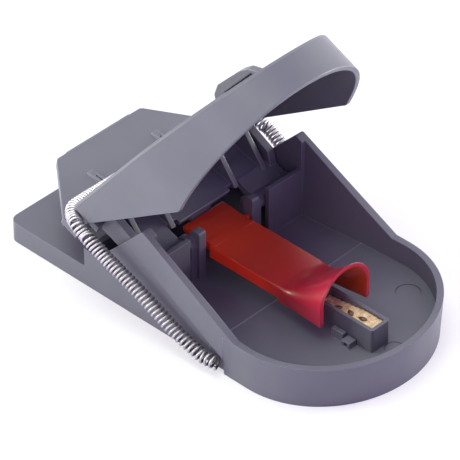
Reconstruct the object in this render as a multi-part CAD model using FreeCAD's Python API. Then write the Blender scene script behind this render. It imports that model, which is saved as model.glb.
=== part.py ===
import FreeCAD, Part
import math
import os

# Snap mouse trap, set and open. Millimetres. X is right, Y is back, Z is up.
# The origin is the middle of the footprint on the underside, the front faces -Y.

V = FreeCAD.Vector
os.makedirs("parts", exist_ok=True)

# Hinge of the jaw, along X
HINGE_Y = 7.7
HINGE_Z = 12.2
SET_ANGLE = 65.65
PIN_R = 1.0
PIN_SEAT_GAP = 0.01
PIN_RUN_GAP = 0.05
BARREL_R = 1.9
PART_GAP = 0.3

# Tray
TRAY_REAR = 49.05
TAIL_START = 25.0
TAIL_Z = 5.2
TAIL_CORNER = 2.5
D_CENTRE = -25.5
RIM_Z = 10.45
RIM_HALF = 26.1
TAIL_HALF = RIM_HALF - 1.5
PEAK_HALF = RIM_HALF - 0.9
RIM_DEPTH = TRAY_REAR + D_CENTRE
RIM_WALL = 1.6
DRAFT = 0.55
FLOOR_Z = 4.8
FLOOR_BREAK = -13.2
REAR_FLOOR_Z = 3.8
SHOULDER_Y = -18.4
BEND_Y = -21.6
PEAK_Y = 6.2
PEAK_Z = 25.17
VALLEY_Y = 21.0
VALLEY_Z = 9.6
STEP_Z = 10.3
SIDE_IN = TAIL_HALF - 1.8
SIDE_FLOOR_IN = TAIL_HALF - 1.6
SIDE_TOP_IN = PEAK_HALF - 1.2
SIDE_LEAN = 0.7
PIN_OUT = TAIL_HALF - 0.4
FLOOR_RIDGE = 0.12
BAND_DROP = 8.4
COVE_R = 2.2
COVE_BELOW = 1.7
END_WALL = 1.4
TAIL_EDGE = 1.7

# Reach of the blocks that cut or clip, past every side of the part
CLEAR = 1.3 * TRAY_REAR

# Cross ledge, hinge cheeks and trigger posts
LEDGE_Y = 4.3
LEDGE_WALL = 1.2
LEDGE_Z = 16.6
LEDGE_IN = 12.5
POST_IN = 7.4
POST_OUT = 9.4
CHEEK_OUT = POST_OUT + 1.6
CHEEK_R = 2.4
PIN_IN = POST_OUT + 0.3
POST_Y = 4.5
POST_DEPTH = 3.0
POST_Z = 16.4

# Moulding cells in the underside
CELL = 7.8
RIB = 1.2
SKIN = 1.5
CELL_COLUMNS = 5
CELL_ROWS = 11
CELL_LEAST_VOLUME = 20

# Jaw, given closed and swung back to the set pose
JAW_WALL = 1.2
JAW_OUT = RIM_HALF + 0.6
JAW_IN = JAW_OUT - JAW_WALL
JAW_CENTRE = -23.1
JAW_DEPTH = 24.8
LID_WALL = 1.1
JAW_EDGE_Z = 10.3
JAW_CORNER = (-21.8, JAW_EDGE_Z)
JAW_LOW_REAR = (6.4, 28.2)
LID_FRONT = (-49.1, 18.4)
LID_REAR = (8.3, 33.8)
LID_BACK_CORNER = 3.5
LID_EDGE = 0.55
LIP_HALF = 7.9
ARM_IN = 20.6
ARM_OUT = SIDE_IN - PART_GAP
WEB_AT = (10.0, 19.0)
WEB_WALL = 1.2
GROOVE_FLOOR_Z = 32.2
GROOVE_REAR = 12.6
GROOVE_UNDER_Z = 29.4
PEDAL_FRONT = (14.4, 34.3)
PEDAL_REAR = (17.8, 48.5)
PEDAL_WALL = 1.6
STEP_HALF = RIM_HALF - 0.1
PEDAL_FRONT_HALF = RIM_HALF - 0.55
PEDAL_REAR_HALF = 13.2
PEDAL_LIP_HALF = 10.0
LUG_HALF = 0.9
LUG_SKIN = 0.5
TONGUE_HALF = 3.0
HOOK_X = 10.1
HOOK_HALF = 0.85
HOOK_SLOT = 0.55
HOOK_REACH = 7.4

# Trigger
TRIGGER_Y = 6.0
TRIGGER_Z = 11.2
STUB_R = 0.8
STUB_GAP = 0.05
DECK_Z = 12.2
DECK_WALL = 1.0
DECK_REAR = 12.7
DECK_HALF = 6.2
DECK_CUT = 4.0
MOUTH_START = -16.5
MOUTH_Y = -30.0
DECK_FOOT = (6.75, 9.0)
BELL_FOOT = (6.75, 8.1)
DECK_TOP = ((6.65, 11.75), (6.56, 11.97), (6.35, 12.07), (0.0, DECK_Z))
BELL_SECTIONS = (
    (MOUTH_START, (BELL_FOOT, *DECK_TOP)),
    (-19.0, ((6.85, 8.2), (6.85, 10.7), (6.43, 11.86), (5.36, 12.47), (0.0, 12.8))),
    (-24.5, ((7.25, 8.5), (7.29, 11.4), (6.48, 13.98), (4.33, 15.63), (0.0, 16.25))),
    (MOUTH_Y, ((7.7, 8.8), (7.85, 13.4), (7.26, 16.35), (5.56, 18.9), (0.0, 21.2))))
HOLLOW_SECTIONS = (
    (MOUTH_START, ((5.75, 6.6), (5.65, 10.9), (0.0, DECK_Z - DECK_WALL))),
    (-19.0, ((5.85, 6.7), (5.85, 10.8), (0.0, 11.8))),
    (-24.5, ((6.25, 7.0), (6.29, 11.5), (0.0, 15.2))),
    (MOUTH_Y, ((6.7, 7.3), (6.85, 12.6), (0.0, 20.2))))

# Bait cup
CUP_HALF = 2.8
CUP_Z = 10.9
CUP_FRONT = -40.5
CUP_REAR = -23.0
CUP_WALL = 0.8
CUP_FLOOR = 1.0
PASTE_DROP = 0.7
SEED_AT = (-28.5, -32.1, -35.6)
SEED_X = -0.4
SEED_LONG = 2.2
SEED_WIDE = 1.3
SEED_HIGH = 0.8

# Springs
COIL_R = 1.7
WIRE_R = 0.32
WIRE_SIDES = 5
SPRING_RISE = ((0.5, -16.2, 2.1), (0.8, -5.7, 5.1), (1.3, 5.3, 10.65), (1.8, 14.7, 15.0),
               (2.05, 19.3, 17.4))
SPRING_TURN = ((6, 27.4), (20, 29.8), (38, 31.8), (58, 33.2), (78, 33.9))
SPRING_GROOVE_X = (21.0, 16.0, 11.3)
SPRING_CLEAR = 0.15
TURNS = 7


def box(x0, x1, y0, y1, z0, z1):
    return Part.makeBox(x1 - x0, y1 - y0, z1 - z0, V(x0, y0, z0))


def mirrored(shape):
    return shape.mirror(V(0, 0, 0), V(1, 0, 0))


def both_sides(shape):
    return [shape, mirrored(shape)]


def outline(points, place):
    """Closed wire of straight lines with the corners that have a third number, a radius, rounded."""
    corners = [(V(*q[:2], 0), q[2] if len(q) > 2 else 0) for q in points]
    starts = []
    ends = []
    arcs = []
    for i, (here, radius) in enumerate(corners):
        if not radius:
            starts.append(here)
            ends.append(here)
            arcs.append(None)
            continue
        back = (corners[i - 1][0] - here).normalize()
        ahead = (corners[(i + 1) % len(corners)][0] - here).normalize()
        half = back.getAngle(ahead) / 2
        reach = radius / math.tan(half)
        centre = here + (back + ahead).normalize() * (radius / math.sin(half))
        starts.append(here + back * reach)
        ends.append(here + ahead * reach)
        arcs.append(centre + (here - centre).normalize() * radius)
    edges = []
    for i in range(len(corners)):
        if arcs[i]:
            edges.append(Part.Arc(place(starts[i]), place(arcs[i]), place(ends[i])).toShape())
        after = starts[(i + 1) % len(corners)]
        if (after - ends[i]).Length > 1e-6:
            edges.append(Part.makeLine(place(ends[i]), place(after)))
    return Part.Wire(edges)


def side_prism(points, x0, x1):
    """Outline in Y and Z pulled along X."""
    wire = outline(points, lambda q: V(x0, q.x, q.y))
    return Part.Face(wire).extrude(V(x1 - x0, 0, 0))


def plan_prism(points, z0, z1):
    """Outline in X and Y pulled along Z."""
    wire = outline(points, lambda q: V(q.x, q.y, z0))
    return Part.Face(wire).extrude(V(0, 0, z1 - z0))


def front_curve(half, depth, centre, z):
    """Front half of an ellipse, from its left end to its right end."""
    middle = V(0, centre, z)
    if half >= depth:
        ellipse = Part.Ellipse(middle + V(half, 0, 0), middle + V(0, depth, 0), middle)
        return Part.Arc(ellipse, math.pi, 2 * math.pi).toShape()
    ellipse = Part.Ellipse(middle - V(0, depth, 0), middle + V(half, 0, 0), middle)
    return Part.Arc(ellipse, -math.pi / 2, math.pi / 2).toShape()


def d_wire(half, depth, centre, straight, z):
    """Half ellipse to the front, then straight sides through the points given."""
    right = [V(half, centre, z)] + [V(x, y, z) for x, y in straight]
    left = [V(-q.x, q.y, q.z) for q in reversed(right)]
    sides = [Part.makeLine(a, b) for a, b in zip(right + left, (right + left)[1:])]
    return Part.Wire([front_curve(half, depth, centre, z)] + sides)


def d_prism(half, depth, centre, straight, z0, z1):
    return Part.Face(d_wire(half, depth, centre, straight, z0)).extrude(V(0, 0, z1 - z0))


def hinge_rod(radius, x0, x1):
    return Part.makeCylinder(radius, x1 - x0, V(x0, HINGE_Y, HINGE_Z), V(1, 0, 0))


def band_z(y):
    """Height of the rising top edge of the side wall at a given Y."""
    return RIM_Z + (y - BEND_Y) * (PEAK_Z - RIM_Z) / (PEAK_Y - BEND_Y)


def tray_outside():
    bottom = d_wire(RIM_HALF - DRAFT, RIM_DEPTH - DRAFT, D_CENTRE, [(RIM_HALF - DRAFT, SHOULDER_Y)], 0)
    top = d_wire(RIM_HALF, RIM_DEPTH, D_CENTRE, [(RIM_HALF, SHOULDER_Y)], RIM_Z)
    front = Part.makeLoft([bottom, top], True, True)
    side = side_prism([(BEND_Y, RIM_Z), (PEAK_Y, PEAK_Z, 0.8), (VALLEY_Y, VALLEY_Z, 1.5),
                       (TAIL_START, STEP_Z), (TAIL_START, TAIL_Z), (TRAY_REAR, TAIL_Z),
                       (TRAY_REAR, 0), (SHOULDER_Y, 0), (SHOULDER_Y, RIM_Z)], -RIM_HALF, RIM_HALF)
    plan = plan_prism([(RIM_HALF - 0.05, BEND_Y), (PEAK_HALF, PEAK_Y), (TAIL_HALF, TAIL_START),
                       (TAIL_HALF, TRAY_REAR, TAIL_CORNER), (-TAIL_HALF, TRAY_REAR, TAIL_CORNER),
                       (-TAIL_HALF, TAIL_START), (-PEAK_HALF, PEAK_Y), (-RIM_HALF + 0.05, BEND_Y)],
                      0, PEAK_Z + 1)
    body = front.fuse(side.common(plan))
    return body.cut(Part.makeCompound(both_sides(cove_cutter())))


def cove_cutter():
    """Takes the lower side face back and leaves a concave cove under the top band."""
    rise = band_z(SHOULDER_Y + 1) - band_z(SHOULDER_Y)
    along = V(0, 1, rise).normalize()
    up = V(0, -along.z, along.y)
    start = V(TAIL_HALF + COVE_R, SHOULDER_Y, band_z(SHOULDER_Y) - BAND_DROP - COVE_BELOW)
    start -= along * CLEAR
    arc = [start - V(COVE_R * math.cos(a), 0, 0) + up * (COVE_R * math.sin(a))
           for a in (0, math.radians(38), math.radians(76))]
    out = V(COVE_R * 2, 0, 0)
    low = -up * (2 * CLEAR)
    section = Part.Wire([
        Part.makeLine(arc[0] + low, arc[0]),
        Part.Arc(*arc).toShape(),
        Part.makeLine(arc[2], arc[2] + out),
        Part.makeLine(arc[2] + out, arc[0] + out + low),
        Part.makeLine(arc[0] + out + low, arc[0] + low)])
    cutter = Part.Face(section).extrude(along * (3 * CLEAR))
    return cutter.common(box(0, CLEAR, SHOULDER_Y, CLEAR, -CLEAR, CLEAR))


def tray_hollow():
    half = RIM_HALF - RIM_WALL
    depth = RIM_DEPTH - RIM_WALL
    low = d_wire(half, depth, D_CENTRE,
                 [(SIDE_FLOOR_IN + SIDE_LEAN, FLOOR_BREAK), (SIDE_FLOOR_IN, LEDGE_Y)], 0)
    high = d_wire(half, depth, D_CENTRE,
                  [(SIDE_TOP_IN + SIDE_LEAN / 2, FLOOR_BREAK), (SIDE_TOP_IN, LEDGE_Y)], PEAK_Z + 5)
    front = Part.makeLoft([low, high], True, True)
    rear = plan_prism([(SIDE_IN, LEDGE_Y - 1), (SIDE_IN, TAIL_START - END_WALL, 1.0),
                       (-SIDE_IN, TAIL_START - END_WALL, 1.0), (-SIDE_IN, LEDGE_Y - 1)], 0, PEAK_Z + 5)
    above_floor = side_prism([(-CLEAR, FLOOR_Z), (FLOOR_BREAK, FLOOR_Z), (LEDGE_Y, REAR_FLOOR_Z),
                              (CLEAR, REAR_FLOOR_Z), (CLEAR, CLEAR), (-CLEAR, CLEAR)], -CLEAR, CLEAR)
    return front.fuse(rear).common(above_floor)


def underside_cells():
    """Square pockets that core out the thick floor from below."""
    pitch = CELL + RIB
    first_x = -(CELL_COLUMNS * pitch - RIB) / 2
    first_y = TRAY_REAR - TAIL_EDGE - (CELL_ROWS * pitch - RIB)
    cells = []
    for row in range(CELL_ROWS):
        y = first_y + row * pitch
        top = FLOOR_Z - SKIN
        if y + CELL > FLOOR_BREAK:
            top = REAR_FLOOR_Z - SKIN
        if y > TAIL_START - END_WALL:
            top = TAIL_Z - SKIN
        for column in range(CELL_COLUMNS):
            x = first_x + column * pitch
            cells.append(box(x, x + CELL, y, y + CELL, -1, top))
    inside = d_prism(RIM_HALF - DRAFT - RIM_WALL, RIM_DEPTH - DRAFT - RIM_WALL, D_CENTRE,
                     [(RIM_HALF - DRAFT - RIM_WALL, TRAY_REAR)], -1, TAIL_Z)
    kept = [cell.common(inside) for cell in cells]
    return Part.makeCompound([cell for cell in kept if cell.Volume > CELL_LEAST_VOLUME])


def hinge_supports():
    """Cross ledge, and the round-topped cheek that holds the inner end of the pin, for one side."""
    low = REAR_FLOOR_Z - 0.5
    ledge = box(LEDGE_IN, SIDE_IN + 0.5, LEDGE_Y, LEDGE_Y + LEDGE_WALL, low, LEDGE_Z)
    cheek = side_prism([(HINGE_Y - CHEEK_R, low), (HINGE_Y - CHEEK_R, HINGE_Z), (HINGE_Y + CHEEK_R, HINGE_Z),
                        (HINGE_Y + CHEEK_R + 1.0, low)], POST_OUT - 0.1, CHEEK_OUT)
    return ledge.fuse([cheek, hinge_rod(CHEEK_R, POST_OUT - 0.1, CHEEK_OUT)])


def trigger_post():
    post = side_prism([(POST_Y, REAR_FLOOR_Z - 0.5), (POST_Y, POST_Z, 0.6),
                       (POST_Y + POST_DEPTH, POST_Z, 1.2), (POST_Y + POST_DEPTH, 9.0),
                       (POST_Y + POST_DEPTH + 1.4, REAR_FLOOR_Z - 0.5)], POST_IN, POST_OUT)
    hole = Part.makeCylinder(STUB_R + STUB_GAP, POST_OUT - POST_IN + 0.8,
                             V(POST_IN - 1, TRIGGER_Y, TRIGGER_Z), V(1, 0, 0))
    return post.cut(hole)


def spring_seat():
    """Groove in the side face that the front end of the spring lies in."""
    front, rise = [V(RIM_HALF + x, y, z) for x, y, z in SPRING_RISE[:2]]
    along = (rise - front).normalize()
    return Part.makeCylinder(COIL_R + 0.2, (rise - front).Length + 4, front - along * 0.6, along)


def make_base():
    body = tray_outside().cut(tray_hollow())
    added = []
    for part in (hinge_supports(), trigger_post()):
        added += both_sides(part)
    body = body.fuse(added)
    removed = [underside_cells()]
    removed += both_sides(spring_seat())
    removed += both_sides(hinge_rod(PIN_R + PIN_SEAT_GAP, PIN_IN - PIN_SEAT_GAP, PIN_OUT + PIN_SEAT_GAP))
    body = body.cut(Part.makeCompound(removed))
    ridge = box(-SIDE_FLOOR_IN - 1, SIDE_FLOOR_IN + 1, FLOOR_BREAK - 0.15, FLOOR_BREAK + 0.15,
                FLOOR_Z - 0.1, FLOOR_Z + FLOOR_RIDGE)
    body = body.fuse([ridge] + cup_clips())
    return body.removeSplitter()


def cup_clips():
    """Lug and tab on the left of the cup and a bar on its right."""
    gap = 0.3
    lug = box(-CUP_HALF - gap - 2.2, -CUP_HALF - gap, -36.2, -33.9, FLOOR_Z - 0.3, FLOOR_Z + 1.6)
    eye = Part.makeCylinder(0.5, 3, V(-CUP_HALF - gap - 2.6, -35.05, FLOOR_Z + 0.8), V(1, 0, 0))
    tab = box(-CUP_HALF - gap - 1.2, -CUP_HALF - gap, -33.4, -30.0, FLOOR_Z - 0.3, FLOOR_Z + 2.2)
    bar = box(CUP_HALF + gap, CUP_HALF + gap + 1.0, -34.0, -30.0, FLOOR_Z - 0.3, FLOOR_Z + 2.6)
    return [lug.cut(eye), tab, bar]


def lid_z(y):
    """Height of the lid's outer face at a given Y."""
    return LID_FRONT[1] + (y - LID_FRONT[0]) * (LID_REAR[1] - LID_FRONT[1]) / (LID_REAR[0] - LID_FRONT[0])


def hood():
    back = LID_REAR[0]
    outer = d_prism(JAW_OUT, JAW_DEPTH + JAW_WALL, JAW_CENTRE, [(JAW_OUT, back)], 0, CLEAR)
    corner = plan_prism([(-JAW_OUT, -CLEAR), (JAW_OUT, -CLEAR), (JAW_OUT, back, LID_BACK_CORNER),
                         (-JAW_OUT, back, LID_BACK_CORNER)], 0, CLEAR)
    outer = outer.common(corner)
    band = side_prism([JAW_CORNER, JAW_LOW_REAR, (back, JAW_LOW_REAR[1]), LID_REAR,
                       LID_FRONT, (-CLEAR, lid_z(-CLEAR)), (-CLEAR, JAW_EDGE_Z)], -CLEAR, CLEAR)
    inner = d_prism(JAW_IN, JAW_DEPTH, JAW_CENTRE, [(JAW_IN, back - JAW_WALL)], 0, CLEAR)
    under_lid = side_prism([(-CLEAR, 0), (back, 0), (back, lid_z(back) - LID_WALL),
                            (-CLEAR, lid_z(-CLEAR) - LID_WALL)], -CLEAR, CLEAR)
    shell = outer.common(band)
    rim = [edge for edge in shell.Edges if on_lid_rim(edge)]
    shell = shell.makeChamfer(LID_EDGE, rim)
    return shell.cut(inner.common(under_lid))


def on_lid_rim(edge):
    """True for the edges around the outer face of the lid."""
    ends = [edge.valueAt(edge.FirstParameter), edge.valueAt(edge.LastParameter),
            edge.valueAt((edge.FirstParameter + edge.LastParameter) / 2)]
    return all(abs(q.z - lid_z(q.y)) < 0.01 for q in ends)


def rear_wall():
    """Cross wall under the lid with the catch lip, the groove floor and the pedal's front step."""
    top = [(6.9, lid_z(6.9) - 0.4), (LID_REAR[0], lid_z(LID_REAR[0]) - 0.4), (LID_REAR[0], GROOVE_FLOOR_Z),
           (GROOVE_REAR, GROOVE_FLOOR_Z), (GROOVE_REAR + 0.3, PEDAL_FRONT[1]), PEDAL_FRONT,
           (PEDAL_FRONT[0], GROOVE_UNDER_Z), (9.4, GROOVE_UNDER_Z)]
    wall = side_prism([(7.0, 18.4), (8.05, 24.3), (7.6, 29.4)] + top + [(9.4, 24.3), (8.3, 18.4)],
                      -ARM_OUT, ARM_OUT)
    wings = side_prism([(7.85, 26.4), (7.6, 29.4)] + top + [(9.4, 26.4)],
                       -STEP_HALF, STEP_HALF)
    inner = JAW_IN - 1.2
    inboard = box(-inner, inner, -CLEAR, CLEAR, 0, CLEAR)
    step = box(-STEP_HALF, STEP_HALF, GROOVE_REAR, PEDAL_FRONT[0] + 0.1, 0, CLEAR)
    wings = wings.common(inboard.fuse(step))
    lip = side_prism([(6.7, 17.2), (7.0, 18.5), (8.4, 18.5), (8.1, 17.2)], -LIP_HALF, LIP_HALF)
    tongue = side_prism([(7.1, 18.4), (10.2, 17.0), (10.84, 17.92), (7.9, 19.8)],
                        -TONGUE_HALF, TONGUE_HALF)
    return wall.fuse([wings, lip, tongue])


def apron():
    """Lower part of the cross wall that joins it to the hinge barrel, for one side."""
    plate = side_prism([(6.6, HINGE_Z + 1.0), (6.95, 18.6), (8.3, 18.6), (8.8, HINGE_Z + 1.0)],
                       CHEEK_OUT + PART_GAP, ARM_OUT)
    return plate.fuse(hinge_rod(BARREL_R, CHEEK_OUT + PART_GAP, ARM_OUT))


def pedal():
    front = V(0, *PEDAL_FRONT)
    rear = V(0, *PEDAL_REAR)
    along = (rear - front).normalize()
    out = V(0, along.z, -along.y)
    length = (rear - front).Length

    def place(q):
        return V(q.x, 0, 0) + front + along * q.y

    plate_wire = outline([(-PEDAL_FRONT_HALF, -0.4), (PEDAL_FRONT_HALF, -0.4),
                          (PEDAL_REAR_HALF, length, 1.5), (-PEDAL_REAR_HALF, length, 1.5)], place)
    plate = Part.Face(plate_wire).extrude(out * PEDAL_WALL)
    lip_wire = outline([(-PEDAL_LIP_HALF, length - 0.2), (PEDAL_LIP_HALF, length - 0.2),
                        (PEDAL_LIP_HALF, length + 0.45, 0.3), (-PEDAL_LIP_HALF, length + 0.45, 0.3)],
                       lambda q: place(q) + out * 0.4)
    lip = Part.Face(lip_wire).extrude(out * (PEDAL_WALL - 0.4))
    return plate.fuse([lip] + [hook(x, place, out) for x in (-HOOK_X, HOOK_X)])


def hook(x, place, out):
    """Tapered fin with a slot, on the outer face of the pedal."""
    def bar(half, points):
        wire = Part.makePolygon([place(V(x - half, t, 0)) + out * d for t, d in points + points[:1]])
        return Part.Face(wire).extrude(V(2 * half, 0, 0))

    fin = bar(HOOK_HALF, [(-1.6, 0.2), (HOOK_REACH, 0.2), (HOOK_REACH - 0.3, -0.3), (-1.6, -1.1)])
    end = HOOK_REACH * 0.7
    return fin.cut(bar(HOOK_SLOT / 2, [(-2.0, 0.0), (end, 0.0), (end, -2.0), (-2.0, -2.0)]))


def hinge_arm():
    return side_prism([(3.4, 26.6), (3.94, 19.17), (7.54, 16.22), (6.39, 13.67), (HINGE_Y, HINGE_Z),
                       (9.43, 11.42), (11.53, 16.06), (10.27, 18.61, 1.0), (9.3, 20.6), (9.3, 26.6)],
                      ARM_IN, ARM_OUT)


def web(x):
    return side_prism([(6.9, 16.9), (8.2, 18.4), (8.6, 24.3), (8.0, lid_z(8.0) - 0.5),
                       (-0.4, lid_z(-0.4) - 0.5)], x - WEB_WALL / 2, x + WEB_WALL / 2)


def tether_lug():
    """Rounded lug on the lid with a blind slot in its left face."""
    lug = side_prism([(-22.9, lid_z(-22.9) - 0.5), (-23.3, 26.2), (-24.8, 27.4, 1.5), (-28.0, 27.75, 1.5),
                      (-36.8, 24.75, 2.0), (-39.5, 23.3, 2.5), (-41.0, 21.3), (-41.5, lid_z(-41.5) - 0.5)],
                     -LUG_HALF, LUG_HALF)
    slot = side_prism([(-27.8, 25.55), (-27.8, 25.05), (-39.5, 21.58), (-39.5, 22.08)],
                      -LUG_HALF - 1, LUG_HALF - LUG_SKIN)
    return lug.cut(slot)


def make_jaw():
    pieces = [rear_wall(), pedal(), tether_lug()]
    pieces += both_sides(hinge_arm()) + both_sides(apron())
    for x in WEB_AT:
        pieces += both_sides(web(x))
    body = hood().fuse(pieces)
    for x0, x1 in ((-RIM_HALF, -CHEEK_OUT), (CHEEK_OUT, RIM_HALF)):
        body = body.cut(hinge_rod(PIN_R + PIN_RUN_GAP, x0, x1))
    body = body.removeSplitter()
    body.rotate(V(0, HINGE_Y, HINGE_Z), V(1, 0, 0), -SET_ANGLE)
    return body


def tunnel_section(points, y):
    """Section through foot, side top, shoulder, knee and crown, or through foot, side top and crown."""
    foot, side_top, *shoulder, crown = [V(x, y, z) for x, z in points]
    far_top = V(-side_top.x, y, side_top.z)
    far_foot = V(-foot.x, y, foot.z)
    if shoulder:
        far = [V(-q.x, y, q.z) for q in shoulder]
        top = [Part.Arc(side_top, *shoulder), Part.Arc(shoulder[1], crown, far[1]),
               Part.Arc(far[1], far[0], far_top)]
    else:
        top = [Part.Arc(side_top, crown, far_top)]
    return Part.Wire([Part.makeLine(foot, side_top)] + [arc.toShape() for arc in top]
                     + [Part.makeLine(far_top, far_foot), Part.makeLine(far_foot, foot)])


def make_trigger():
    bell = Part.makeLoft([tunnel_section(points, y) for y, points in BELL_SECTIONS], True)
    hollow = Part.makeLoft([tunnel_section(points, y) for y, points in HOLLOW_SECTIONS], True)
    reach = DECK_CUT - MOUTH_START
    deck = Part.Face(tunnel_section((DECK_FOOT, *DECK_TOP), MOUTH_START)).extrude(V(0, reach, 0))
    inside = HOLLOW_SECTIONS[0][1]
    under = Part.Face(tunnel_section(inside, MOUTH_START)).extrude(V(0, reach - 1.2, 0))
    neck = side_prism([(DECK_CUT - 1.0, DECK_Z - 1.6), (DECK_CUT - 1.0, DECK_Z), (TRIGGER_Y, DECK_Z, 2.0),
                       (DECK_REAR - 2.6, DECK_Z + 0.4, 2.0), (DECK_REAR, DECK_Z + 0.4, 0.3),
                       (DECK_REAR, DECK_Z - 0.8), (TRIGGER_Y + 2.0, DECK_Z - 2.0),
                       (TRIGGER_Y - 1.2, DECK_Z - 2.0)], -DECK_HALF, DECK_HALF)
    reach = POST_OUT - 0.4
    stub = Part.makeCylinder(STUB_R, 2 * reach, V(-reach, TRIGGER_Y, TRIGGER_Z), V(1, 0, 0))
    return bell.cut(hollow).fuse([deck.cut(under), neck, stub]).removeSplitter()


def make_cup():
    outer = plan_prism([(-CUP_HALF, CUP_FRONT, 0.6), (CUP_HALF, CUP_FRONT, 0.6), (CUP_HALF, CUP_REAR, 0.6),
                        (-CUP_HALF, CUP_REAR, 0.6)], FLOOR_Z, CUP_Z)
    inner = plan_prism([(-CUP_HALF + CUP_WALL, CUP_FRONT + CUP_WALL, 0.3),
                        (CUP_HALF - CUP_WALL, CUP_FRONT + CUP_WALL, 0.3),
                        (CUP_HALF - CUP_WALL, CUP_REAR - CUP_WALL, 0.3),
                        (-CUP_HALF + CUP_WALL, CUP_REAR - CUP_WALL, 0.3)],
                       FLOOR_Z + CUP_FLOOR, CUP_Z + 1)
    return outer.cut(inner)


def make_bait():
    inset = CUP_WALL + 0.02
    half = CUP_HALF - inset
    block = plan_prism([(-half, CUP_FRONT + inset, 0.35), (half, CUP_FRONT + inset, 0.35),
                        (half, CUP_REAR - inset, 0.35), (-half, CUP_REAR - inset, 0.35)],
                       FLOOR_Z + CUP_FLOOR + 0.02, CUP_Z - PASTE_DROP)
    return block.cut(Part.makeCompound([seed(y, 0.03) for y in SEED_AT]))


def seed(y, swell):
    """Oval seed half sunk in the paste."""
    wide = SEED_WIDE / 2 + swell
    long = SEED_LONG / 2 + swell
    middle = CUP_Z - PASTE_DROP
    return plan_prism([(SEED_X - wide, y - long, wide * 0.9), (SEED_X + wide, y - long, wide * 0.9),
                       (SEED_X + wide, y + long, wide * 0.9), (SEED_X - wide, y + long, wide * 0.9)],
                      middle - SEED_HIGH / 2 - swell, middle + SEED_HIGH / 2)


def make_seeds():
    return Part.makeCompound([seed(y, 0) for y in SEED_AT])


def make_pin(side):
    pin = hinge_rod(PIN_R, PIN_IN, PIN_OUT)
    return pin if side > 0 else mirrored(pin)


def in_set_pose(point):
    """Point of the closed jaw swung back to the set pose."""
    hinge = V(0, HINGE_Y, HINGE_Z)
    turn = FreeCAD.Rotation(V(1, 0, 0), -SET_ANGLE)
    return hinge + turn.multVec(point - hinge)


def spring_curve():
    """Middle line: up the side wall, round the hood's back corner and along the groove."""
    pivot = V(JAW_OUT - LID_BACK_CORNER, LID_REAR[0] - LID_BACK_CORNER, 0)
    turn_r = LID_BACK_CORNER + COIL_R + SPRING_CLEAR
    groove_y = (LID_REAR[0] + GROOVE_REAR) / 2
    groove_z = GROOVE_FLOOR_Z + COIL_R + SPRING_CLEAR
    points = [V(RIM_HALF + x, y, z) for x, y, z in SPRING_RISE]
    for angle, z in SPRING_TURN:
        a = math.radians(angle)
        points.append(in_set_pose(pivot + V(turn_r * math.cos(a), turn_r * math.sin(a), z)))
    points += [in_set_pose(V(x, groove_y, groove_z)) for x in SPRING_GROOVE_X]
    curve = Part.BSplineCurve()
    curve.interpolate(points)
    return curve


def biarc(p0, t0, p1, t1):
    """Two arcs that meet smoothly between two points with given directions."""
    chord = p1 - p0
    ahead = chord.dot(t0 + t1)
    spread = 2 * (1 - t0.dot(t1))
    reach = (-ahead + math.sqrt(ahead ** 2 + spread * chord.dot(chord))) / spread
    q0 = p0 + t0 * reach
    q1 = p1 - t1 * reach
    joint = (q0 + q1) * 0.5
    arcs = []
    for a, q, b in ((p0, q0, joint), (joint, q1, p1)):
        middle = (a + b) * 0.5
        half = math.acos(min(1.0, (b - a).Length / 2 / reach))
        mid = middle + (q - middle) * (math.tan(half / 2) / math.tan(half))
        arcs.append(Part.Arc(a, mid, b).toShape())
    return arcs


def coil_point(curve, length, turn):
    """Point of the wound wire after the given number of turns."""
    share = turn / TURNS
    u = curve.parameterAtDistance(length * share, curve.FirstParameter)
    centre = curve.value(u)
    along = curve.tangent(u)[0]
    side = V(0, 0, 1).cross(along).normalize()
    up = along.cross(side)
    angle = 2 * math.pi * turn
    radius = COIL_R - WIRE_R
    return centre + side * (radius * math.cos(angle)) + up * (radius * math.sin(angle))


def make_spring():
    curve = spring_curve()
    length = curve.length()
    steps = TURNS * 4
    knots = []
    for i in range(steps + 1):
        turn = i / 4
        here = coil_point(curve, length, turn)
        ahead = coil_point(curve, length, min(TURNS, turn + 0.002))
        back = coil_point(curve, length, max(0, turn - 0.002))
        knots.append((here, (ahead - back).normalize()))
    edges = []
    for (p0, t0), (p1, t1) in zip(knots, knots[1:]):
        edges += biarc(p0, t0, p1, t1)
    spine = Part.Wire(edges)
    circle = Part.makeCircle(WIRE_R, *knots[0])
    corners = [circle.valueAt(2 * math.pi * i / WIRE_SIDES) for i in range(WIRE_SIDES)]
    section = Part.makePolygon(corners + corners[:1])
    return spine.makePipeShell([section], True, False)


def least_gap():
    """Least free space between neighbouring curls of the wound wire."""
    curve = spring_curve()
    length = curve.length()
    per_turn = 24
    points = [coil_point(curve, length, i / per_turn) for i in range(TURNS * per_turn + 1)]
    least = min((points[i] - points[j]).Length
                for i in range(len(points))
                for j in range(i + per_turn // 2, min(len(points), i + 2 * per_turn)))
    return least - 2 * WIRE_R


def main():
    nodes = {
        "base": make_base(),
        "jaw": make_jaw(),
        "trigger": make_trigger(),
        "bait_cup": make_cup(),
        "bait": make_bait(),
        "seeds": make_seeds(),
        "hinge_pin_right": make_pin(1),
        "hinge_pin_left": make_pin(-1),
    }
    spring = make_spring()
    nodes["spring_right"] = spring
    nodes["spring_left"] = mirrored(spring)
    print("least gap between curls %.2f mm" % least_gap())
    for name, shape in nodes.items():
        shape.exportStep("parts/%s.step" % name)


main()
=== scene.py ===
import math

import bpy
import bmesh
from mathutils import Matrix, Vector


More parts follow.
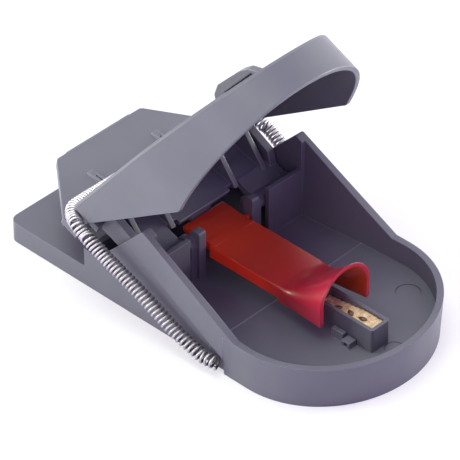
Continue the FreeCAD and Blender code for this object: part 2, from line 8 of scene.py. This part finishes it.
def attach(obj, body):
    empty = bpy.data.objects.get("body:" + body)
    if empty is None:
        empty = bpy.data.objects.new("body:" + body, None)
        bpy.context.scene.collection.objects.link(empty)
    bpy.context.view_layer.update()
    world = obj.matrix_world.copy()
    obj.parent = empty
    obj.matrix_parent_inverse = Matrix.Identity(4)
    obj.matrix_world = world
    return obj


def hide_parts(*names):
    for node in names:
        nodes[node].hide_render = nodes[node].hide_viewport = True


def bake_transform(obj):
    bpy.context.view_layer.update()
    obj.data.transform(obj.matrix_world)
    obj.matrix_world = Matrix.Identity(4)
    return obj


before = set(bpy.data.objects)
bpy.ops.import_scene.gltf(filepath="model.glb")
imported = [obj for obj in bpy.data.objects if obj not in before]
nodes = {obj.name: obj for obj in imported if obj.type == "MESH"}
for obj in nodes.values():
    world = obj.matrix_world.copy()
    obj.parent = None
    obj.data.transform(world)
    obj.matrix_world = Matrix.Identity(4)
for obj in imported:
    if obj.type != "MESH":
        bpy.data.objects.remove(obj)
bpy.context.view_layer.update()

# Hinge line of the jaw and the angle it is set open, as in the model
HINGE = Vector((0, 0.0077, 0.0122))
SET_ANGLE = math.radians(65.65)

# Floor of the tray: ejector-pin rings (x, y, radius) with painted shadow on their far side, and a painted
# highlight on the line where the floor changes slope
EJECTOR_RINGS = ((0.01816, -0.03216, 0.00278), (0.0019, -0.0429, 0.0022))
EJECTOR_LINE = 0.0003
EJECTOR_FADE = 0.003
EJECTOR_PAINTED_SHADOW = 0.2
CREASE_Y = -0.0132
CREASE_LINE = 0.00022
CREASE_PAINTED_HIGHLIGHT = 1.6
FLOOR_LOWEST = 0.0035
FLOOR_HIGHEST = 0.00515

# Moulded plastic, with a painted highlight along its edges
EDGE_GAIN = 3.0
GRAIN_DEPTH = 0.00004
PLASTIC_GLOSS = 0.4

# Trigger: where its colour starts and ends, the middle of its tunnel, and what counts as facing inwards
RED_FRONT = -0.029
RED_REAR = 0.004
TUNNEL_Z = 0.0085
INWARDS = -0.001
# Painted light on the deck's upright sides: how upright a face must be, where along the deck it starts, and
# how fast it rises
UPRIGHT_FROM = 0.7
DECK_FROM = 0.3
SIDE_GAIN = 4.0

# Springs: coil and wire, distance between curls, length of the first two parts of the middle line, and
# its points in millimetres, where the rise starts from the rim and the rest belongs to the closed jaw
COIL_R = 0.0017
WIRE_R = 0.00031
WIRE_SIDES = 8
STEPS_PER_TURN = 16
STRETCHED_PITCH = 0.00124
CLOSE_PITCH = 0.0009
GROOVE_PITCH = 0.00074
RISE_LENGTH = 0.0398
CORNER_LENGTH = 0.0105
LINE_STEPS = 40
RIM_HALF = 26.1
SPRING_RISE = ((0.2, -17.4, 2.85), (0.5, -16.1, 2.95), (0.6, -14.5, 2.85), (0.65, -12.8, 2.98),
               (0.8, -5.7, 5.1), (1.3, 5.3, 10.65), (1.8, 14.7, 15.0), (2.05, 19.3, 17.4))
SPRING_CORNER = ((27.9, 8.0, 26.6), (27.84, 7.96, 28.4), (27.6, 8.0, 30.0), (26.3, 9.2, 31.95),
                 (25.02, 9.85, 33.4), (23.6, 10.13, 34.25))
SPRING_GROOVE = ((21.0, 10.2, 34.4), (16.0, 10.2, 34.38), (10.2, 10.2, 34.35))

# Painted shade on the wire towards and away from the coil's middle, at the front end and in the groove
FRONT_SHADE = (0.18, 0.6)
GROOVE_SHADE = (0.5, 0.88)
SHADE_FROM = -0.55
SHADE_OVER = 0.8
LIFT_FROM = 0.45
LIFT_OVER = 0.37

# Bait: block of paste, its uneven top and how far that drops towards the rear, and the seeds (y, turn)
PASTE_HALF = 0.00198
PASTE_FRONT = -0.03968
PASTE_REAR = -0.02382
PASTE_BOTTOM = 0.00582
PASTE_TOP = 0.01015
PASTE_COLUMNS = 14
PASTE_ROWS = 56
PASTE_LUMP = 0.00012
PASTE_SMALL_LUMP = 0.00008
PASTE_EDGE = 0.0006
PASTE_DROP = 0.0013
DROP_FROM = -0.0345
DROP_OVER = 0.0095
SEED_X = -0.0004
SEED_Z = 0.01022
SEED_HALF = (0.00062, 0.0011, 0.00046)
SEED_TAPER = 0.28
SEED_TILT = (0.05, 0.1)
SEEDS = ((-0.0285, 0.5), (-0.0321, -0.3), (-0.0356, 0.25))

# Studio: lamps (name, place, size, power, colour), white floor, and camera in millimetres
LAMPS = (
    ("overhead", (-0.1, 0.1, 1.0), 0.6, 6.0, (0.82, 1.0, 0.73)),
    ("rear_left", (-0.65, 0.75, 0.3), 0.4, 8.2, (0.89, 1.0, 0.73)),
    ("left", (-0.75, -0.15, 0.62), 0.26, 1.3, (1.0, 1.0, 0.9)),
    ("right", (0.9, -0.3, 0.2), 0.4, 8.6, (0.94, 1.0, 0.78)))
LAMP_AIM = (0, 0, 0.02)
FLOOR_HALF = 3.0
FLOOR_Z = -0.00002
FLOOR_GLOW = 0.5
CAMERA_PLACE = (-549.6, -522.9, 612.2)
CAMERA_AIM = (11.50, 15.33, 0)
CAMERA_LENS = 345.95


def mm(x, y, z):
    return Vector((x, y, z)) / 1000


def in_set_pose(point):
    """Point of the closed jaw swung back to the set pose."""
    return HINGE + Matrix.Rotation(-SET_ANGLE, 3, "X") @ (point - HINGE)


def share_of(value, start, over):
    """Nothing up to start, rising to one over the distance given."""
    return min(1.0, max(0.0, (value - start) / over))


# Shader nodes

def new_material(name):
    material = bpy.data.materials.new(name)
    material.use_nodes = True
    tree = material.node_tree
    return material, tree, tree.nodes["Principled BSDF"]


def set_inputs(node, **inputs):
    for key, value in inputs.items():
        node.inputs[key.replace("_", " ")].default_value = value


def add(tree, kind, **inputs):
    node = tree.nodes.new(kind)
    set_inputs(node, **inputs)
    return node


def coordinates(tree, kind):
    """Place on the object, or direction of its surface."""
    return tree.nodes.new("ShaderNodeTexCoord").outputs[kind]


def axes(tree, vector):
    split = tree.nodes.new("ShaderNodeSeparateXYZ")
    tree.links.new(vector, split.inputs["Vector"])
    return [split.outputs[axis] for axis in "XYZ"]


def noise(tree, place, scale, detail, roughness):
    texture = add(tree, "ShaderNodeTexNoise", Scale=scale, Detail=detail, Roughness=roughness)
    tree.links.new(place, texture.inputs["Vector"])
    return texture.outputs["Fac"]


def ramp(tree, value, stops):
    node = tree.nodes.new("ShaderNodeValToRGB")
    while len(node.color_ramp.elements) < len(stops):
        node.color_ramp.elements.new(0.5)
    for element, (place, colour) in zip(node.color_ramp.elements, stops):
        element.position = place
        element.color = (*colour, 1)
    tree.links.new(value, node.inputs["Fac"])
    return node.outputs["Color"]


def grey(level):
    return (level, level, level)


def times(factor, colour):
    return tuple(factor * level for level in colour)


def calc(tree, operation, *values, clamp=False):
    """Math node on numbers and sockets."""
    node = tree.nodes.new("ShaderNodeMath")
    node.operation = operation
    node.use_clamp = clamp
    for socket, value in zip(node.inputs, values):
        if isinstance(value, (int, float)):
            socket.default_value = value
        else:
            tree.links.new(value, socket)
    return node.outputs["Value"]


def dot(tree, first, second):
    node = tree.nodes.new("ShaderNodeVectorMath")
    node.operation = "DOT_PRODUCT"
    tree.links.new(first, node.inputs[0])
    tree.links.new(second, node.inputs[1])
    return node.outputs["Value"]


def blended(tree, share, first, second, kind="MIX"):
    """Mix of two colours, each a socket or three numbers."""
    node = tree.nodes.new("ShaderNodeMix")
    node.data_type = "RGBA"
    node.blend_type = kind
    if isinstance(share, float):
        node.inputs["Factor"].default_value = share
    else:
        tree.links.new(share, node.inputs["Factor"])
    for name, value in (("A", first), ("B", second)):
        if isinstance(value, tuple):
            node.inputs[name].default_value = (*value, 1)
        else:
            tree.links.new(value, node.inputs[name])
    return node.outputs["Result"]


def rounded_normal(tree, radius, samples):
    """Surface direction with the edges rounded off."""
    edge = add(tree, "ShaderNodeBevel", Radius=radius)
    edge.samples = samples
    return edge.outputs["Normal"]


def roughen(tree, shader, height, strength, distance, rounded=None):
    """Bump from a height, over the rounded surface direction where one is given."""
    bump = add(tree, "ShaderNodeBump", Strength=strength, Distance=distance)
    tree.links.new(height, bump.inputs["Height"])
    if rounded:
        tree.links.new(rounded, bump.inputs["Normal"])
    tree.links.new(bump.outputs["Normal"], shader.inputs["Normal"])


def show_mix(tree, output, share, first, second):
    """Gives an output node a mix of two shaders."""
    mix = tree.nodes.new("ShaderNodeMixShader")
    tree.links.new(share, mix.inputs["Fac"])
    tree.links.new(first, mix.inputs[1])
    tree.links.new(second, mix.inputs[2])
    tree.links.new(mix.outputs["Shader"], tree.nodes[output].inputs["Surface"])


# Materials

def edge_highlight_share(tree, rounded):
    """One on the edges of the solid, where a highlight is painted, nothing on its flat faces."""
    true_normal = tree.nodes.new("ShaderNodeNewGeometry").outputs["Normal"]
    turned = calc(tree, "SUBTRACT", 1.0, dot(tree, rounded, true_normal))
    return calc(tree, "MULTIPLY", turned, EDGE_GAIN, clamp=True)


def stroke(tree, off, width):
    """One where the distance is nothing, falling to nothing at the width."""
    share = calc(tree, "DIVIDE", calc(tree, "ABSOLUTE", off), width)
    return calc(tree, "SUBTRACT", 1.0, share, clamp=True)


def floor_shadow_and_highlight(tree, place):
    """Share of painted shadow on the far side of the ejector-pin rings, and share of the painted highlight
    where the floor changes slope.
    """
    x, y, z = axes(tree, place)
    on_floor = calc(tree, "MULTIPLY", calc(tree, "LESS_THAN", z, FLOOR_HIGHEST),
                    calc(tree, "GREATER_THAN", z, FLOOR_LOWEST))
    ring_shadows = None
    for centre_x, centre_y, radius in EJECTOR_RINGS:
        dx = calc(tree, "SUBTRACT", x, centre_x)
        dy = calc(tree, "SUBTRACT", y, centre_y)
        squares = calc(tree, "ADD", calc(tree, "MULTIPLY", dx, dx), calc(tree, "MULTIPLY", dy, dy))
        line = stroke(tree, calc(tree, "SUBTRACT", calc(tree, "SQRT", squares), radius), EJECTOR_LINE)
        beyond = calc(tree, "ADD", calc(tree, "ADD", dx, dy), EJECTOR_FADE / 2)
        side = calc(tree, "DIVIDE", beyond, EJECTOR_FADE, clamp=True)
        ring = calc(tree, "MULTIPLY", line, side)
        ring_shadows = ring if ring_shadows is None else calc(tree, "MAXIMUM", ring_shadows, ring)
    crease_highlight = stroke(tree, calc(tree, "SUBTRACT", y, CREASE_Y), CREASE_LINE)
    return calc(tree, "MULTIPLY", ring_shadows, on_floor), calc(tree, "MULTIPLY", crease_highlight, on_floor)


def moulded_plastic(name, dark, light, rough, grain, edge_radius, edge_highlight=1.5, painted_floor_light=False):
    """Injection-moulded plastic: slight clouding, fine grain and softly rounded edges with a painted
    highlight.
    """
    material, tree, shader = new_material(name)
    place = coordinates(tree, "Object")
    colour = ramp(tree, noise(tree, place, 45.0, 4.0, 0.55), [(0.3, dark), (0.7, light)])
    rounded = rounded_normal(tree, edge_radius, 8)
    # Painted highlight: the colour is lightened along the solid's edges.
    colour = blended(tree, edge_highlight_share(tree, rounded), colour, times(edge_highlight, light))
    # Painted shadow on the far side of the ejector-pin rings, and a painted highlight along the floor's
    # crease.
    if painted_floor_light:
        ring_shadows, crease_highlight = floor_shadow_and_highlight(tree, place)
        colour = blended(tree, ring_shadows, colour, times(EJECTOR_PAINTED_SHADOW, dark))
        colour = blended(tree, crease_highlight, colour, times(CREASE_PAINTED_HIGHLIGHT, light))
    tree.links.new(colour, shader.inputs["Base Color"])
    roughness = ramp(tree, noise(tree, place, 160.0, 3.0, 0.6),
                     [(0.25, grey(rough - 0.05)), (0.75, grey(rough + 0.07))])
    tree.links.new(roughness, shader.inputs["Roughness"])
    roughen(tree, shader, noise(tree, place, 5200.0, 2.0, 0.6), grain, GRAIN_DEPTH, rounded)
    set_inputs(shader, Specular_IOR_Level=PLASTIC_GLOSS)
    return material


def drawn_steel(name, rough, inner=None):
    """Bright drawn wire; where inner names a colour attribute, that paints shade on the wire's inner side."""
    material, tree, shader = new_material(name)
    spots = noise(tree, coordinates(tree, "Object"), 900.0, 3.0, 0.6)
    colour = ramp(tree, spots, [(0.3, (0.67, 0.61, 0.72)), (0.7, (0.86, 0.79, 0.91))])
    if inner:
        attribute = tree.nodes.new("ShaderNodeVertexColor")
        attribute.layer_name = inner
        # Painted shade: the colour attribute darkens the wire's inner side.
        colour = blended(tree, 1.0, colour, attribute.outputs["Color"], "MULTIPLY")
    tree.links.new(colour, shader.inputs["Base Color"])
    roughness = ramp(tree, spots, [(0.3, grey(rough + 0.1)), (0.7, grey(rough))])
    tree.links.new(roughness, shader.inputs["Roughness"])
    set_inputs(shader, Metallic=1.0)
    return material


def inside_share(tree, place):
    """One where a face of the trigger's tunnel looks inwards, nothing where it looks outwards."""
    flat = tree.nodes.new("ShaderNodeVectorMath")
    flat.operation = "MULTIPLY_ADD"
    flat.inputs[1].default_value = (1.0, 0.0, 1.0)
    flat.inputs[2].default_value = (0.0, 0.0, -TUNNEL_Z)
    tree.links.new(place, flat.inputs[0])
    outwards = dot(tree, flat.outputs["Vector"], coordinates(tree, "Normal"))
    return calc(tree, "LESS_THAN", outwards, INWARDS)


def sides_painted_light(tree, along):
    """One on the deck's upright side faces, which get painted light, nothing on its top and the bell."""
    sideways = calc(tree, "ABSOLUTE", axes(tree, coordinates(tree, "Normal"))[0])
    upright = calc(tree, "MULTIPLY", calc(tree, "SUBTRACT", sideways, UPRIGHT_FROM), SIDE_GAIN, clamp=True)
    deck = calc(tree, "MULTIPLY", calc(tree, "SUBTRACT", along, DECK_FROM), SIDE_GAIN, clamp=True)
    return calc(tree, "MULTIPLY", upright, deck)


def trigger_plastic():
    """Glossy red plastic: crimson on the bell, darker on the deck, orange inside, and painted light in
    brighter orange on the deck's sides.
    """
    material, tree, shader = new_material("red_plastic")
    place = coordinates(tree, "Object")
    along = add(tree, "ShaderNodeMapRange", From_Min=RED_FRONT, From_Max=RED_REAR)
    tree.links.new(axes(tree, place)[1], along.inputs["Value"])
    base = ramp(tree, along.outputs["Result"],
                [(0.0, (0.46, 0.012, 0.042)), (0.35, (0.31, 0.008, 0.011)), (0.7, (0.35, 0.015, 0.003)),
                 (1.0, (0.58, 0.03, 0.003))])
    # Painted light: a brighter orange on the deck's upright sides.
    base = blended(tree, sides_painted_light(tree, along.outputs["Result"]), base, (0.85, 0.035, 0.008))
    base = blended(tree, inside_share(tree, place), base, (0.5, 0.045, 0.004))
    tree.links.new(base, shader.inputs["Base Color"])
    roughness = ramp(tree, noise(tree, place, 240.0, 3.0, 0.6), [(0.3, grey(0.3)), (0.7, grey(0.36))])
    tree.links.new(roughness, shader.inputs["Roughness"])
    roughen(tree, shader, noise(tree, place, 700.0, 2.0, 0.5), 0.03, 0.00005, rounded_normal(tree, 0.0003, 6))
    set_inputs(shader, Coat_Weight=0.9, Coat_Roughness=0.24, Subsurface_Weight=0.05, Subsurface_Scale=0.001)
    return material


def paste():
    """Pale nut paste with darker crumbs."""
    material, tree, shader = new_material("bait_paste")
    lumps = noise(tree, coordinates(tree, "Object"), 900.0, 5.0, 0.65)
    colour = ramp(tree, lumps,
                  [(0.3, (0.42, 0.27, 0.11)), (0.5, (0.72, 0.55, 0.3)), (0.72, (0.88, 0.76, 0.5))])
    tree.links.new(colour, shader.inputs["Base Color"])
    roughen(tree, shader, lumps, 0.5, 0.0002)
    set_inputs(shader, Roughness=0.55, Subsurface_Weight=0.1, Subsurface_Scale=0.001)
    return material


def seed_skin():
    """Brown, faintly streaked skin."""
    material, tree, shader = new_material("seed_skin")
    streaks = noise(tree, coordinates(tree, "Object"), 2500.0, 3.0, 0.6)
    colour = ramp(tree, streaks, [(0.35, (0.06, 0.026, 0.016)), (0.7, (0.22, 0.1, 0.05))])
    tree.links.new(colour, shader.inputs["Base Color"])
    roughen(tree, shader, streaks, 0.3, 0.0001)
    set_inputs(shader, Roughness=0.4)
    return material


def dress(obj, material):
    obj.data.materials.clear()
    obj.data.materials.append(material)


tray_grey = moulded_plastic("tray_plastic", (0.115, 0.115, 0.14), (0.135, 0.135, 0.162), 0.42, 0.25, 0.0003,
                            painted_floor_light=True)
jaw_grey = moulded_plastic("jaw_plastic", (0.132, 0.135, 0.157), (0.153, 0.157, 0.18), 0.4, 0.25, 0.00038,
                           edge_highlight=2.3)
cup_grey = moulded_plastic("cup_plastic", (0.1, 0.1, 0.122), (0.12, 0.12, 0.145), 0.38, 0.2, 0.00025)
steel = drawn_steel("spring_steel", 0.36, "wire_painted_shade")
pin_steel = drawn_steel("pin_steel", 0.34)

dress(nodes["base"], tray_grey)
dress(nodes["jaw"], jaw_grey)
dress(nodes["trigger"], trigger_plastic())
dress(nodes["bait_cup"], cup_grey)
dress(nodes["hinge_pin_left"], pin_steel)
dress(nodes["hinge_pin_right"], pin_steel)


# Springs

def to_scene(name, data):
    obj = bpy.data.objects.new(name, data)
    bpy.context.scene.collection.objects.link(obj)
    return obj


def piece(name, mesh, material):
    obj = to_scene(name, mesh)
    mesh.materials.append(material)
    for polygon in mesh.polygons:
        polygon.use_smooth = True
    return obj


def through(points, steps):
    """Smooth line through the points, cut into equal lengths, and its length."""
    dense = []
    for i in range(len(points) - 1):
        a = points[max(0, i - 1)]
        b = points[i]
        c = points[i + 1]
        d = points[min(len(points) - 1, i + 2)]
        for k in range(LINE_STEPS):
            t = k / LINE_STEPS
            dense.append(0.5 * ((2 * b) + (c - a) * t + (2 * a - 5 * b + 4 * c - d) * t * t
                                + (3 * b - a - 3 * c + d) * t ** 3))
    dense.append(points[-1].copy())
    lengths = [0.0]
    for a, b in zip(dense, dense[1:]):
        lengths.append(lengths[-1] + (b - a).length)
    line = []
    j = 0
    for i in range(steps + 1):
        want = lengths[-1] * i / steps
        while j < len(lengths) - 2 and lengths[j + 1] < want:
            j += 1
        share = (want - lengths[j]) / max(1e-12, lengths[j + 1] - lengths[j])
        line.append(dense[j].lerp(dense[j + 1], share))
    return line, lengths[-1]


def frames(line):
    """Point and two steady cross directions along a line."""
    result = []
    side = None
    for i, point in enumerate(line):
        along = (line[min(i + 1, len(line) - 1)] - line[max(i - 1, 0)]).normalized()
        if side is None:
            side = along.cross(Vector((0, 0, 1))).normalized()
        side = (side - along * side.dot(along)).normalized()
        result.append((point, side, along.cross(side)))
    return result


def around(point, side, up, radius, angle):
    return point + side * (radius * math.cos(angle)) + up * (radius * math.sin(angle))


def tube(name, line, radius, sides, material):
    mesh = bpy.data.meshes.new(name)
    rows = []
    vertices = []
    for point, side, up in frames(line):
        rows.append([len(vertices) + k for k in range(sides)])
        vertices += [around(point, side, up, radius, 2 * math.pi * k / sides) for k in range(sides)]
    faces = []
    for near, far in zip(rows, rows[1:]):
        for k in range(sides):
            n = (k + 1) % sides
            faces.append((near[k], near[n], far[n], far[k]))
    faces.append(tuple(reversed(rows[0])))
    faces.append(tuple(rows[-1]))
    mesh.from_pydata(vertices, [], faces)
    return piece(name, mesh, material)


def spring_points():
    """Middle line of the right spring: up the side wall, round the hood's corner, along the groove."""
    rise = [mm(RIM_HALF + x, y, z) for x, y, z in SPRING_RISE]
    return rise + [in_set_pose(mm(*q)) for q in SPRING_CORNER + SPRING_GROOVE]


def turns_at(distance):
    """Curls wound from the front end up to a distance; the rising length is stretched towards the front."""
    fall = (STRETCHED_PITCH - CLOSE_PITCH) / RISE_LENGTH
    rising = min(distance, RISE_LENGTH)
    turns = math.log(STRETCHED_PITCH / (STRETCHED_PITCH - fall * rising)) / fall
    corner = min(distance - rising, CORNER_LENGTH)
    return turns + corner / CLOSE_PITCH + (distance - rising - corner) / GROOVE_PITCH


def paint_wire_shade(mesh, coil, middle):
    """Paints shade on the wire where it faces the middle of the coil, less so towards the open groove."""
    layer = mesh.color_attributes.new("wire_painted_shade", "FLOAT_COLOR", "POINT")
    for i, vertex in enumerate(mesh.vertices):
        row = i // WIRE_SIDES
        outward = (coil[row] - middle[row]).normalized()
        facing = (vertex.co - coil[row]).dot(outward) / WIRE_R
        share = share_of(facing, SHADE_FROM, SHADE_OVER)
        lifted = share_of(row / len(coil), LIFT_FROM, LIFT_OVER)
        dark, light = (a + (b - a) * lifted for a, b in zip(FRONT_SHADE, GROOVE_SHADE))
        layer.data[i].color = (*grey(dark + (light - dark) * share), 1.0)


def make_spring(name, side, node):
    length = through(spring_points(), 1)[1]
    steps = round(turns_at(length) * STEPS_PER_TURN)
    middle = through(spring_points(), steps)[0]
    coil = []
    for i, (point, across, up) in enumerate(frames(middle)):
        angle = 2 * math.pi * turns_at(length * i / steps)
        coil.append(around(point, across, up, COIL_R - WIRE_R, angle))
    coil = [Vector((side * p.x, p.y, p.z)) for p in coil]
    middle = [Vector((side * p.x, p.y, p.z)) for p in middle]
    obj = tube(name, coil, WIRE_R, WIRE_SIDES, steel)
    # Painted shade on the coils' inner side.
    paint_wire_shade(obj.data, coil, middle)
    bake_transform(obj)
    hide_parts(node)


make_spring("spring_left_coils", -1, "spring_left")
make_spring("spring_right_coils", 1, "spring_right")


# Bait

def lumpy_block(name, half, y0, y1, bottom, height, material):
    """Block with a lumpy top surface and straight sides."""
    mesh = bpy.data.meshes.new(name)
    bm = bmesh.new()
    top = []
    for j in range(PASTE_ROWS + 1):
        y = y0 + (y1 - y0) * j / PASTE_ROWS
        across = [half * (2 * i / PASTE_COLUMNS - 1) for i in range(PASTE_COLUMNS + 1)]
        top.append([bm.verts.new((x, y, height(x, y))) for x in across])
    for near, far in zip(top, top[1:]):
        for i in range(PASTE_COLUMNS):
            bm.faces.new((near[i], near[i + 1], far[i + 1], far[i]))
    ring = top[0][:-1] + [row[-1] for row in top[:-1]] + top[-1][:0:-1] + [row[0] for row in top[:0:-1]]
    low = [bm.verts.new((v.co.x, v.co.y, bottom)) for v in ring]
    for k in range(len(ring)):
        n = (k + 1) % len(ring)
        bm.faces.new((ring[k], low[k], low[n], ring[n]))
    bm.faces.new(list(reversed(low)))
    bm.normal_update()
    bm.to_mesh(mesh)
    bm.free()
    return piece(name, mesh, material)


def paste_drop(y):
    """How much lower the paste lies towards the rear of the cup."""
    return PASTE_DROP * share_of(y, DROP_FROM, DROP_OVER)


def paste_height(x, y):
    """Uneven top of the paste, a little higher along the cup's walls."""
    level = PASTE_TOP + PASTE_LUMP * math.sin(y * 1900 + 1.3) * math.cos(x * 2300 + 0.4)
    level += PASTE_SMALL_LUMP * math.sin(y * 4700 + x * 3900)
    inner = share_of(PASTE_HALF - abs(x), 0.0, PASTE_EDGE)
    return level + PASTE_LUMP * (1 - inner) - paste_drop(y)


bait_piece = lumpy_block("bait_paste_block", PASTE_HALF, PASTE_FRONT, PASTE_REAR, PASTE_BOTTOM,
                         paste_height, paste())
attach(bait_piece, "tray")
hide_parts("bait")

seed_material = seed_skin()


def make_seed(index, y, turn):
    """Flat oval seed with one narrower end, half sunk in the paste."""
    half_x, half_y, half_z = SEED_HALF
    mesh = bpy.data.meshes.new("seed")
    bm = bmesh.new()
    bmesh.ops.create_uvsphere(bm, u_segments=20, v_segments=12, radius=1.0)
    for vertex in bm.verts:
        across, high, along = vertex.co
        narrow = 1.0 - SEED_TAPER * max(0.0, along)
        vertex.co = Vector((across * half_x * narrow, along * half_y, high * half_z * narrow))
    bm.to_mesh(mesh)
    bm.free()
    obj = piece("seed_%d" % index, mesh, seed_material)
    obj.rotation_euler = (*SEED_TILT, turn)
    obj.location = (SEED_X, y, SEED_Z - paste_drop(y))
    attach(obj, "tray")
    return obj


seeds = [make_seed(i + 1, y, turn) for i, (y, turn) in enumerate(SEEDS)]
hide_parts("seeds")


# Floor, light and camera

def make_floor():
    half = FLOOR_HALF
    mesh = bpy.data.meshes.new("floor")
    mesh.from_pydata([(-half, -half, 0), (half, -half, 0), (half, half, 0), (-half, half, 0)], [],
                     [(0, 1, 2, 3)])
    obj = to_scene("floor", mesh)
    obj.location.z = FLOOR_Z
    material, tree, shader = new_material("floor_white")
    set_inputs(shader, Base_Color=(0.93, 0.93, 0.93, 1), Roughness=0.6, Specular_IOR_Level=0.2)
    glow = add(tree, "ShaderNodeEmission", Strength=1.0)
    rays = tree.nodes.new("ShaderNodeLightPath")
    show_mix(tree, "Material Output", calc(tree, "MULTIPLY", rays.outputs["Is Camera Ray"], FLOOR_GLOW),
             shader.outputs["BSDF"], glow.outputs["Emission"])
    mesh.materials.append(material)


def make_world():
    """Faint violet fill, white where the camera and reflections look."""
    world = bpy.data.worlds.new("studio")
    world.use_nodes = True
    bpy.context.scene.world = world
    tree = world.node_tree
    fill = tree.nodes["Background"]
    set_inputs(fill, Color=(0.69, 0.48, 1.0, 1), Strength=0.87)
    white = add(tree, "ShaderNodeBackground", Color=(1.0, 1.0, 1.0, 1), Strength=1.0)
    rays = tree.nodes.new("ShaderNodeLightPath")
    seen = calc(tree, "MAXIMUM", rays.outputs["Is Camera Ray"], rays.outputs["Is Glossy Ray"])
    show_mix(tree, "World Output", seen, fill.outputs["Background"], white.outputs["Background"])


def aim(obj, place, target):
    obj.location = place
    obj.rotation_mode = "QUATERNION"
    obj.rotation_quaternion = (Vector(target) - Vector(place)).to_track_quat("-Z", "Y")


def make_lamp(name, place, size, power, colour):
    data = bpy.data.lights.new(name, "AREA")
    data.shape = "SQUARE"
    data.size = size
    data.energy = power
    data.color = colour
    aim(to_scene(name, data), place, LAMP_AIM)


def make_camera():
    data = bpy.data.cameras.new("camera")
    data.sensor_width = 36.0
    data.lens = CAMERA_LENS
    data.clip_start = 0.05
    data.clip_end = 20.0
    camera = to_scene("camera", data)
    aim(camera, mm(*CAMERA_PLACE), mm(*CAMERA_AIM))
    bpy.context.scene.camera = camera


make_floor()
make_world()
for lamp in LAMPS:
    make_lamp(*lamp)
make_camera()
bpy.context.scene.view_settings.view_transform = "Standard"
